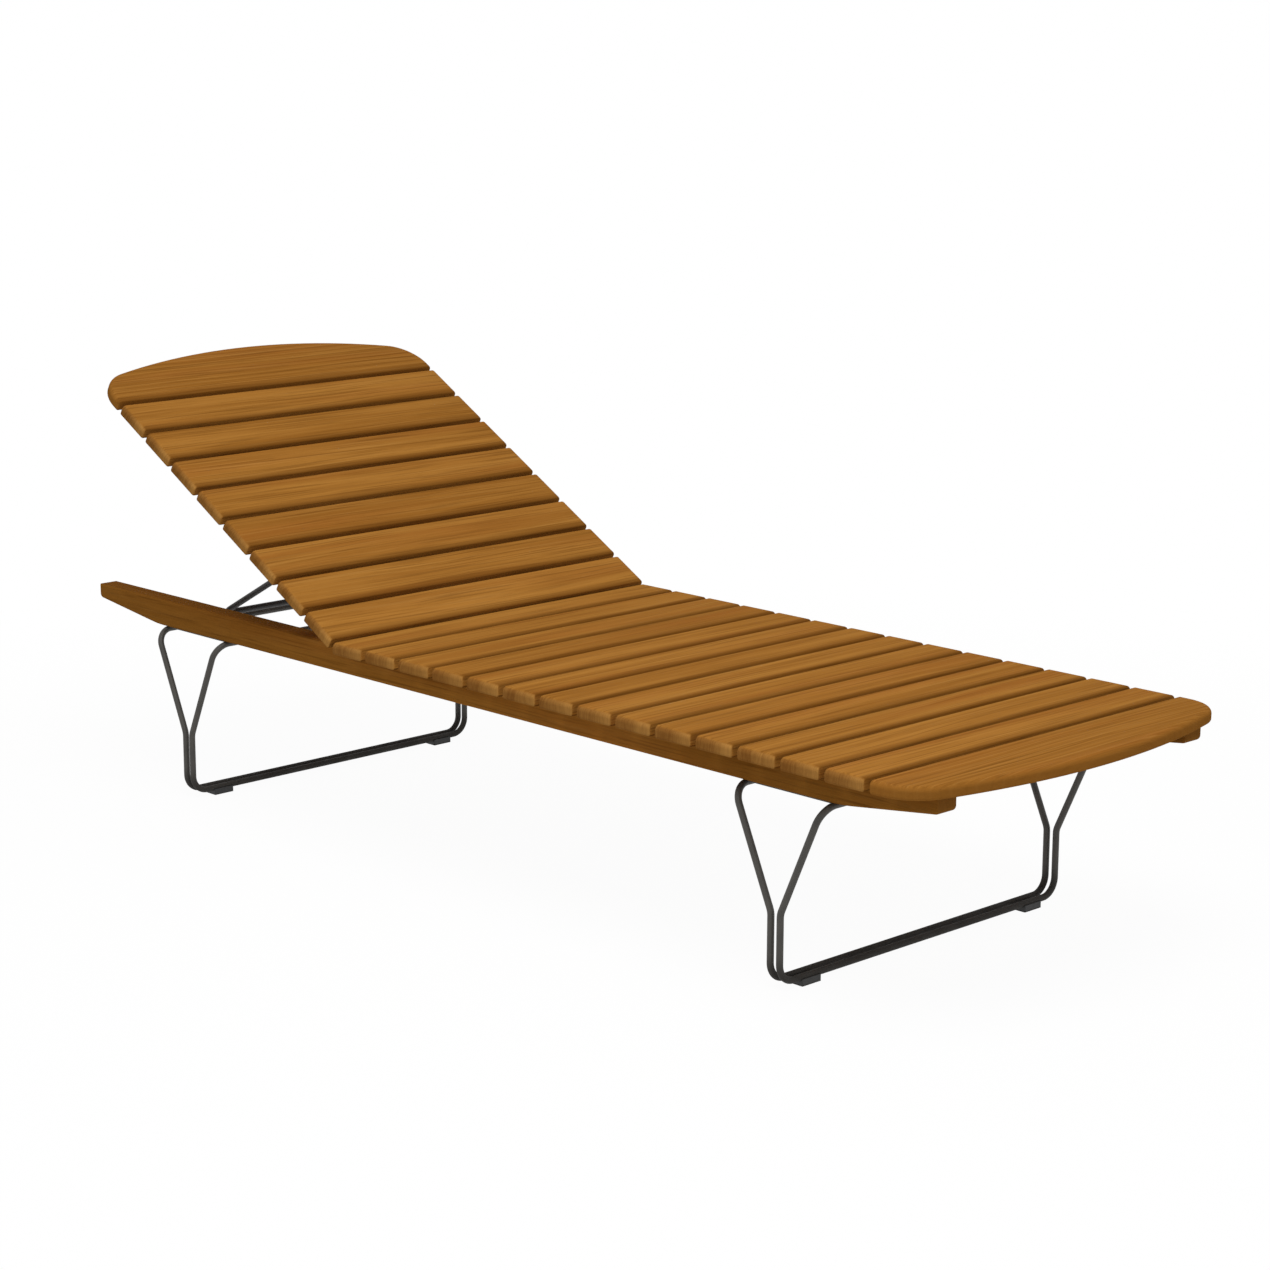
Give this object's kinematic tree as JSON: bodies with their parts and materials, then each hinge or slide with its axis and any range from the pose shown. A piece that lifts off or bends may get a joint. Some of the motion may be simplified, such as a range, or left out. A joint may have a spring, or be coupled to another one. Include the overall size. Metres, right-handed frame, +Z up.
{
  "type": "sun lounger",
  "caption": "Low slatted wooden sun lounger with an adjustable backrest on a folding wire prop, bowed ends, and bent steel rod legs.",
  "frame": {"origin": "on the floor under the middle of the lounger's footprint", "axes": "+X from the head end to the foot end, +Y to the left side of a person lying on it, +Z up"},
  "size_m": [1.9336, 0.674, 0.7143],
  "materials": {
    "slat_wood": "oiled",
    "rail_wood": "oiled",
    "frame_steel": "satin",
    "glide_plastic": "matte",
    "fitting_steel": "satin"
  },
  "bodies": {
    "base": {"rail_left": "rail_wood", "rail_right": "rail_wood", "seat_slat_01": "slat_wood", "seat_slat_02": "slat_wood", "seat_slat_03": "slat_wood", "seat_slat_04": "slat_wood", "seat_slat_05": "slat_wood", "seat_slat_06": "slat_wood", "seat_slat_07": "slat_wood", "seat_slat_08": "slat_wood", "seat_slat_09": "slat_wood", "seat_slat_10": "slat_wood", "seat_slat_11": "slat_wood", "seat_slat_12": "slat_wood", "seat_slat_13": "slat_wood", "seat_slat_14": "slat_wood", "foot_slat": "slat_wood", "head_leg_loop_outer": "frame_steel", "head_leg_loop_inner": "frame_steel", "foot_leg_loop_inner": "frame_steel", "foot_leg_loop_outer": "frame_steel", "leg_plate_head_left": "frame_steel", "leg_plate_head_right": "frame_steel", "leg_plate_foot_left": "frame_steel", "leg_plate_foot_right": "frame_steel", "glide_head_left": "glide_plastic", "glide_head_right": "glide_plastic", "glide_foot_left": "glide_plastic", "glide_foot_right": "glide_plastic", "hinge_seat_leaf_left": "fitting_steel", "hinge_seat_leaf_right": "fitting_steel", "hinge_pin_left": "fitting_steel", "hinge_pin_right": "fitting_steel", "rack_left": "frame_steel", "rack_right": "frame_steel", "seat_slat_screws": "fitting_steel", "leg_plate_screws": "fitting_steel", "hinge_seat_screws": "fitting_steel"},
    "backrest": {"backrest_slat_01": "slat_wood", "backrest_slat_02": "slat_wood", "backrest_slat_03": "slat_wood", "backrest_slat_04": "slat_wood", "backrest_slat_05": "slat_wood", "backrest_slat_06": "slat_wood", "backrest_slat_07": "slat_wood", "backrest_slat_08": "slat_wood", "head_slat": "slat_wood", "batten_left": "rail_wood", "batten_right": "rail_wood", "hinge_backrest_leaf_left": "fitting_steel", "hinge_backrest_leaf_right": "fitting_steel", "prop_pin_left": "fitting_steel", "prop_pin_right": "fitting_steel", "backrest_slat_screws": "fitting_steel", "hinge_backrest_screws": "fitting_steel"},
    "prop": {"prop": "frame_steel"}
  },
  "joints": [
    {"name": "backrest_hinge", "type": "hinge", "parent": "base", "child": "backrest", "pos_m": [-0.26575, 0, 0.334], "axis": [0, 1, 0], "range_deg": [-29.6, 25.4]},
    {"name": "prop_hinge", "type": "hinge", "parent": "backrest", "child": "prop", "pos_m": [-0.46904, 0, 0.43166], "axis": [0, 1, 0], "range_deg": [-47.5, 56]}
  ],
  "couplings": [
    {"joint": "prop_hinge", "follows": "backrest_hinge", "ratio": -1.85}
  ]
}
